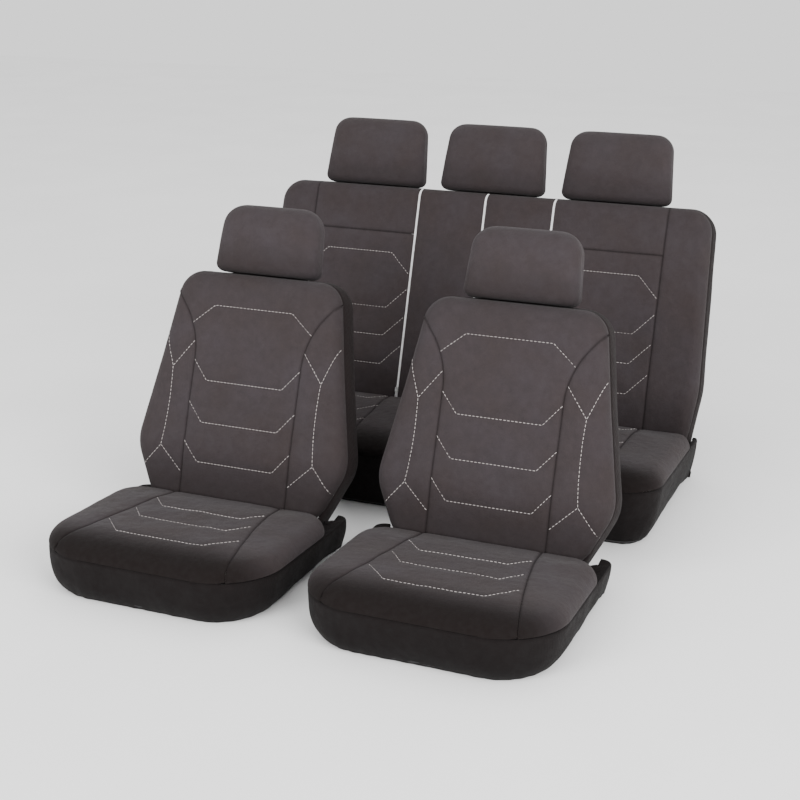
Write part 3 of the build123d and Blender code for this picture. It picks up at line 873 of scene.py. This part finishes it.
def black_knit():
    """Fine ribbed knit of the sides, backs and skirts."""
    m = Shading("black_knit")
    colour = m.mix(m.noise(30, 3), paint(22, 17, 17), paint(27, 21, 21))
    colour = m.mix(m.math("MULTIPLY", m.noise(700, 2), 0.3), colour, paint(31, 25, 25))
    # painted shade darkens the knit towards near black
    colour = m.mix(m.dark, paint(5, 3, 3), colour)
    knit = m.math("ADD", m.ribs(0.0022, "X", bend=0.4), m.ribs(0.0022, "Z", bend=0.4))
    m.bump((m.noise(45, 3), 0.0008), (knit, 0.00028), (m.noise(1100), 0.00012))
    return m.finish(colour, m.noise(60, 2, low=0.76, high=0.9), Sheen_Weight=0.02, Sheen_Roughness=0.5,
                    Specular_IOR_Level=0.12)


def plain(name, pattern, dark, light, bumps, rough, **values):
    """A material that runs from a dark to a light colour by a pattern, over layers of bump.

    A pattern is the name of a Shading method with its arguments; a roughness is a number or noise's.
    """
    m = Shading(name)
    m.bump(*((getattr(m, kind)(*numbers), distance) for (kind, *numbers), distance in bumps))
    if isinstance(rough, tuple):
        rough = m.noise(*rough)
    kind, *numbers = pattern
    return m.finish(m.mix(getattr(m, kind)(*numbers), paint(*dark), paint(*light)), rough, **values)


# Each look is a material and its slot
VELOUR, KNIT = (velour(), "face_velour"), (black_knit(), "black_knit")
# off-white twisted sewing thread
STITCHES = plain("stitch_thread", ("noise", 300, 2), (168, 162, 160), (196, 190, 187),
                 [(("ribs", 0.0006, "DIAGONAL"), 0.00012)], 0.62, Specular_IOR_Level=0.35), "zip"
# white woven tape and white moulded teeth
TAPE = plain("zip_tape", ("noise", 180, 3), (205, 203, 203), (226, 225, 225),
             [(("weave", "ADD", (0.0008, "X"), (0.0008, "Z")), 0.00016)], 0.78), "zip"
TEETH = plain("zip_teeth", ("noise", 240, 2), (224, 223, 224), (240, 240, 241),
              [(("noise", 900), 0.00003)], (200, 2, 0.5, 0.3, 0.42)), "zip"
# ribbed black elastic and black nylon webbing
RIBBED = ("ribs", 0.0016, "Z")
ELASTIC = plain("hem_elastic", RIBBED, (24, 23, 24), (44, 43, 44),
                [(RIBBED, 0.0003), (("noise", 1000), 0.0001)], 0.8), "elastic"
NYLON = ("weave", "MULTIPLY", (0.0017, "X"), (0.0024, "Y"))
WEBBING = plain("strap_webbing", NYLON, (22, 22, 23), (46, 46, 48), [(NYLON, 0.0003)], 0.58), "webbing"
# plated metal, a little rubbed, for the zip sliders
NICKEL = plain("slider_nickel", ("noise", 260, 4, 0.7), (176, 176, 178), (208, 207, 205),
               [(("noise", 1400, 3), 0.00002)], (420, 3, 0.5, 0.22, 0.4), Metallic=1.0)
# moulded black plastic with a fine grain, for the buckles
PLASTIC = plain("buckle_plastic", ("noise", 120, 3), (24, 24, 25), (32, 32, 33),
                [(("noise", 1600, 4, 0.6), 0.00006)], (300, 3, 0.5, 0.38, 0.52))


def repaint(node, material):
    """Gives a CAD node its material."""
    mesh = frame["nodes"][node].data
    mesh.materials.clear()
    mesh.materials.append(material)


def hinge_and_up(pivot, lift):
    """Where a backrest's hinge line is, and which way its height runs."""
    up = np.array(JOINTS[lift]["axis"], float)
    return np.array(JOINTS[pivot]["pos_m"], float) / MM, up / np.linalg.norm(up)


def minus(edge):
    """The mirror image of an edge."""
    return lambda v: -edge(v)


# ---- the front seats

FRONT_HIGH = 550.0
FRONT_HEAD = (285.0, 262.0, 172.0)  # widths at the foot and at the top, and height
FRONT_SEEDS = {"left": (11, 5, 31, 41), "right": (23, 6, 37, 43)}


def front_seam():
    """Straight up from the crease, then an arc out and a straight run to the outline."""
    start, end = np.array([146.0, 330.0]), np.array([190.0, 458.0])
    wide, high = end - start
    radius = (wide ** 2 + high ** 2) / (2 * wide)
    turn = np.linspace(0, math.asin(high / radius), 16)
    arc = start + radius * np.stack([1 - np.cos(turn), np.sin(turn)], 1)
    way = np.array([math.sin(turn[-1]), math.cos(turn[-1])])
    return np.concatenate([[[start[0], FACE_FOOT]], arc, [end + way * 52]])


def front_back(hinge, up, seam, seed):
    """The form of a front backrest: a topstitched ladder in the middle, a branched line on each bolster."""
    outline = [(214, FACE_FOOT), (292, 105), (250, 330), (214, FRONT_HIGH), (0, FRONT_HIGH)]
    ladder = [across([(164, 416), (106, 465)])]
    ladder += [across([(146, top), (104, top - 50)]) for top in (327, 222, 123)]
    bow = np.linspace(-1, 1, 15)
    spine = np.stack([207 - 5 * (1 - bow ** 2) + 3 * bow, 203 - 100 * bow], 1)
    first, last = spine[0], spine[-1]
    branches = [[(151, 373), first], [(238, 393), first], spine, [last, (148, 43)], [last, (263, 40)]]
    return Backrest(hinge, up, rounded(outline, [110, 400, 65]), FRONT_HIGH, seams=both([seam]),
                    stitches=ladder + both(branches), painted_fade=(-15, 150), seed=seed)


def front_cushion(origin, seam, seed):
    """The form of a front cushion, with three topstitched lines across its centre panel."""
    depth = np.linspace(0, 450, 24)
    lines = ([(147, 102), (104, 150)], [(154, 186), (113, 237)], [(172, 275), (113, 339)])
    return Cushion(origin, 291.0, 450.0, [80, 150], rear_gap=14.0, turn_in=30.0, painted_fade=(295, 425), seed=seed,
                   seams=both([np.stack([seam(depth), depth], 1)]), stitches=[across(line) for line in lines])


def front_seat(side, back_seed, head_seed, cushion_seed, skirt_seed):
    """Every visible piece of one front seat's covers."""
    name = f"front_{side}_"
    body, base = name + "back", name + "base"
    hinge, up = hinge_and_up(name + "recline", name + "headrest_lift")
    seam = front_seam()
    back = front_back(hinge, up, seam, back_seed)

    def inner(v):
        place = np.where(v > seam[-1, 1], 999.0, np.interp(v, seam[:, 1], seam[:, 0]))
        return np.minimum(place, back.half(v))

    rows = rows_between(FACE_FOOT, FRONT_HIGH - 0.01, 5.0)
    back.cloth(name + "backrest_centre_face", rows, minus(inner), inner, 54, body=body,
               node=name + "backrest_centre_panel")
    meet = next(v for v in np.arange(470, FRONT_HIGH, 0.5) if inner(v) >= back.half(v))
    rows = rows_between(FACE_FOOT, meet, 5.0)
    for word, left, right in two_sides(inner, back.half):
        back.cloth(f"{name}backrest_{word}_bolster_face", rows, left, right, 18, body=body,
                   node=f"{name}backrest_{word}_bolster")
    back.boxing(name + "backrest_side_band", body=body, node=name + "backrest_boxing")
    back.back_panel(name + "backrest_back", 9.0, body=body, node=name + "backrest_back_panel")
    topstitch(name + "backrest_topstitching", back, body)
    headrest(name + "headrest", back, 0, FRONT_HEAD, 58.0, head_seed, body=name + "headrest",
             node=name + "headrest_cover")

    def seam_across(d):
        return 144 + 78 * (np.clip(d, 0, None) / 450) ** 1.5

    def inset(d):
        return np.minimum(seam_across(d), seat.side(d))

    seat = front_cushion(back.origin, seam_across, cushion_seed)
    seat.top(name + "cushion_centre_face", minus(inset), inset, 56, 5.0, body=base,
             node=name + "cushion_centre_panel")
    for word, left, right in two_sides(inset, seat.side):
        seat.top(f"{name}cushion_{word}_bolster_face", left, right, 16, 5.0, body=base,
                 node=f"{name}cushion_{word}_bolster")
    topstitch(name + "cushion_topstitching", seat, base)
    seat.skirt(name + "cushion_skirt_cloth", skirt_seed, 3.0, 46.0, body=base, node=name + "cushion_skirt")
    seat.elastic(name + "hem_band", body=base, node=name + "hem_elastic")
    tuck_flap(name + "tuck_sheet", hinge, 228.0, 66.5, 51, body=base, node=name + "tuck_flap")
    strap_and_buckle(name, base)


def strap_and_buckle(name, base):
    """The webbing on either side of the buckle, level with the buckle's middle."""
    low, high = (np.array(c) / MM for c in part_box(name + "under_strap"))
    socket_low, socket_high = (np.array(c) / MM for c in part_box(name + "buckle_socket"))
    middle = (low[0] + high[0]) / 2
    level = (socket_low[2] + socket_high[2]) / 2 + 0.9
    front = [(low[1] + 1, level), (socket_low[1] - 0.5, level)]
    rear = [(socket_high[1] + 1, level), (high[1] - 1, level), (high[1] - 1, high[2])]
    for word, route in (("front", front), ("rear", rear)):
        webbing(f"{name}strap_{word}", middle, route, body=base, node=name + "under_strap")
    repaint(name + "buckle_socket", PLASTIC)
    repaint(name + "buckle_tongue", PLASTIC)


for seat_side, seeds in FRONT_SEEDS.items():
    front_seat(seat_side, *seeds)


# ---- the rear bench

REAR_HIGH = 598.0
REAR_HEAD = (312.0, 280.0, 192.0)
ZIP_X = {"left": -200.0, "middle": 0.0, "right": 200.0}
REAR_HEAD_X = {"left": -360.0, "middle": 0.0, "right": 360.0}
YOKE, OUTER = 464.0, 520.0  # the seam under the yoke, and the outer panels' seams


def rear_back(hinge, up):
    """The form of the bench's backrest, with four topstitched lines on each main panel."""
    outline = rounded([(636, FACE_FOOT), (656, 110), (636, REAR_HIGH), (0, REAR_HIGH)], [300, 65])
    seams = both([[(OUTER, FACE_FOOT), (OUTER, REAR_HIGH)], [(204, YOKE), (OUTER, YOKE)]])
    inner, edge = 206.0, OUTER - 2
    lines = [[(edge, 347), (edge - 56, 405), (inner + 56, 405), (inner, 347)]]
    for top in (304, 223, 140):
        lines.append([(edge, top), (edge - 55, top - 58), (inner + 55, top - 58), (inner, top)])
    return Backrest(hinge, up, outline, REAR_HIGH, ZIP_X.values(), seams=seams, stitches=both(lines),
                    painted_fade=(-15, 130), seed=71)


def rear_backrest(back, body):
    """The face, band and back panels, the zips and the headrests."""
    gap, zip_x = ZIP_GAP / 2, ZIP_X["right"]
    beside_zip, outer = constant(zip_x + gap), constant(OUTER)
    whole = rows_between(FACE_FOOT, REAR_HIGH - 0.01, 6.0)
    below = rows_between(FACE_FOOT, YOKE - SEAM_GAP, 6.0)
    above = rows_between(YOKE + SEAM_GAP, REAR_HIGH - 0.01, 6.0)
    panels = [
        ("backrest_centre_{}_face", "centre_{}_panel", whole, constant(gap), constant(zip_x - gap), 22),
        ("backrest_{}_main_face", "{}_main_panel", below, beside_zip, outer, 42),
        ("backrest_{}_yoke_face", "{}_yoke_panel", above, beside_zip, outer, 42),
        ("backrest_{}_outer_face", "{}_outer_panel", whole, outer, back.half, 14),
    ]
    for label, node, rows, close, far, middle in panels:
        for word, left, right in two_sides(close, far):
            back.cloth("rear_" + label.format(word), rows, left, right, middle, body=body,
                       node="rear_" + node.format(word))
    for word, side in (("left", -1), ("right", 1)):
        back.boxing(f"rear_{word}_side_band", side, body=body, node=f"rear_{word}_boxing")
        back.back_panel(f"rear_{word}_back", 10.0, side, body=body, node=f"rear_{word}_back_panel")
    topstitch("rear_backrest_topstitching", back, body)
    for word, x in ZIP_X.items():
        zip_tape(f"rear_{word}_zip_tape", back, x, body=body, node=f"rear_{word}_zip")
        zip_teeth(f"rear_{word}_zip_teeth", back, x, body)
        repaint(f"rear_{word}_zip_slider", NICKEL)
    for number, (word, x) in enumerate(REAR_HEAD_X.items()):
        name = f"rear_{word}_headrest"
        headrest(name, back, x, REAR_HEAD, 48.0, 80 + number, body=name, node=name + "_cover")


def rear_cushion(origin, hinge, base):
    """The bench's top panels, skirt, elastic and tuck flap."""
    def inner(d):
        return 216 - 69 * d / 480

    outer = constant(516.0)
    depth = np.array([0.0, 480.0])
    lines = [
        [(214, 20), (257, 88), (481, 60), (514, 20)],
        [(191, 157), (237, 241), (481, 241), (514, 190)],
        [(172, 297), (197, 341), (470, 341), (514, 290)],
    ]
    seams = both([np.stack([inner(depth), depth], 1), [(516, 0), (516, 480)]])
    seat = Cushion(origin, 662.0, 480.0, [40, 95], rear_gap=16.0, turn_in=14.0, painted_fade=(325, 455), seed=91,
                   seams=seams, stitches=both(lines))
    name = "rear_cushion_"
    seat.top(name + "centre_face", minus(inner), inner, 52, 6.0, body=base, node=name + "centre_panel")
    for label, close, far, middle in (("insert", inner, outer, 50), ("bolster", outer, seat.side, 18)):
        for word, left, right in two_sides(close, far):
            node = f"{name}{word}_{label}"
            seat.top(node + "_face", left, right, middle, 6.0, body=base, node=node)
    topstitch(name + "topstitching", seat, base)
    seat.skirt(name + "skirt_cloth", 95, 0.0, 9.0, body=base, node=name + "skirt")
    seat.elastic("rear_hem_band", body=base, node="rear_hem_elastic")
    tuck_flap("rear_tuck_sheet", hinge, 612.0, 69.5, 53, body=base, node="rear_tuck_flap")


rear_hinge, rear_up = hinge_and_up("rear_back_fold", "rear_left_headrest_lift")
bench = rear_back(rear_hinge, rear_up)
rear_backrest(bench, "rear_back")
rear_cushion(bench.origin, rear_hinge, "rear_base")


# ---- floor, light and camera

def studio():
    """A pale floor and soft, even light."""
    mesh = bpy.data.meshes.new("floor")
    mesh.from_pydata([(-9, -9, 0), (9, -9, 0), (9, 9, 0), (-9, 9, 0)], [], [(0, 1, 2, 3)])
    floor = bpy.data.objects.new("floor", mesh)
    bpy.context.scene.collection.objects.link(floor)
    m = Shading("floor_paper")
    mesh.materials.append(m.finish(m.mix(m.noise(2, 2), paint(246, 246, 246), paint(250, 250, 250)), 0.9))
    world = bpy.data.worlds.new("studio")
    bpy.context.scene.world = world
    world.use_nodes = True
    world.node_tree.nodes["Background"].inputs["Color"].default_value = (1, 1, 1, 1)
    world.node_tree.nodes["Background"].inputs["Strength"].default_value = 1.3
    lamps = [
        ("key", (-2.9, -6.0, 3.2), 3.6, 370),
        ("fill", (4.8, -3.2, 2.6), 3.6, 430),
        ("top", (0.0, 0.6, 4.2), 4.0, 12),
    ]
    for name, place, size, power in lamps:
        light = bpy.data.lights.new(name, "AREA")
        light.size, light.energy = size, power
        lamp = bpy.data.objects.new(name, light)
        lamp.location = place
        aim = -np.array(place) + [0, 0, 0.4]
        lean = math.atan2(math.hypot(aim[0], aim[1]), -aim[2])
        lamp.rotation_euler = (lean, 0, math.atan2(-aim[0], aim[1]))
        bpy.context.scene.collection.objects.link(lamp)


def camera():
    """A long lens in front, to the right and above, placed from the bench's hinge line."""
    lens = bpy.data.cameras.new("camera")
    lens.lens, lens.sensor_width = 65.25, 36.0
    eye = bpy.data.objects.new("camera", lens)
    hinge = JOINTS["rear_back_fold"]["pos_m"]
    eye.location = (1.294, hinge[1] - 3.722, hinge[2] + 1.379)
    eye.rotation_euler = (math.radians(90 - 19.2), 0, math.radians(22))
    bpy.context.scene.collection.objects.link(eye)
    bpy.context.scene.camera = eye


studio()
camera()
